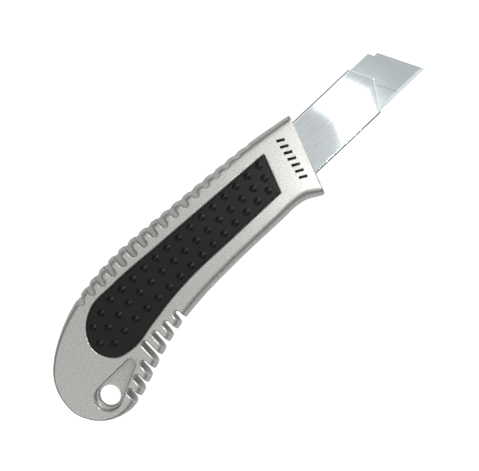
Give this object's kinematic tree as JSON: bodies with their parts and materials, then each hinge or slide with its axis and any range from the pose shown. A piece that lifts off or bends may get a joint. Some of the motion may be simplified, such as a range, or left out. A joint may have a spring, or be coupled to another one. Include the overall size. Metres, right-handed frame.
{
  "type": "utility knife",
  "caption": "Snap-off blade utility knife: two-shell metal handle with rubber grip pads, ribbed belly, lanyard eye, steel blade guide and auto-lock slider.",
  "frame": {"origin": "centre of the lanyard hole, on the parting plane between the two housing shells", "axes": "+X along the blade towards its point, +Y towards the spine, +Z towards the right-hand face, where the guide is closed"},
  "size_m": [0.1753, 0.0445, 0.017],
  "materials": {
    "silver_shell": "satin silver paint on die-cast metal",
    "black_rubber": "moulded matt rubber",
    "guide_steel": "polished stainless sheet",
    "blade_steel": "ground tool steel",
    "fastener_steel": "plated steel",
    "dark_plastic": "moulded dark grey plastic"
  },
  "bodies": {
    "handle": {"housing_right": "silver_shell", "housing_left": "silver_shell", "grip_pad_right": "black_rubber", "grip_pad_left": "black_rubber", "blade_guide": "guide_steel", "guide_rivet": "fastener_steel", "screw_tail": "fastener_steel", "screw_rear": "fastener_steel", "screw_front_spine": "fastener_steel", "screw_front_belly": "fastener_steel"},
    "slider": {"blade": "blade_steel", "blade_carrier": "dark_plastic", "blade_stud": "fastener_steel", "lock_spring": "guide_steel", "spring_rivet": "fastener_steel"},
    "button": {"lock_plate": "fastener_steel", "lock_rivet_front": "fastener_steel", "lock_rivet_rear": "fastener_steel", "thumb_button": "dark_plastic", "thumb_grip": "black_rubber"}
  },
  "joints": [
    {"name": "blade_slide", "type": "slide", "parent": "handle", "child": "slider", "axis": [1, 0, 0], "range_m": [-0.024, 0.06]},
    {"name": "button_press", "type": "slide", "parent": "slider", "child": "button", "axis": [0, 0, 1], "range_m": [0, 0.0008], "stiffness_N_per_m": 3000, "springref_m": -0.002, "deforming": ["lock_spring"]}
  ]
}
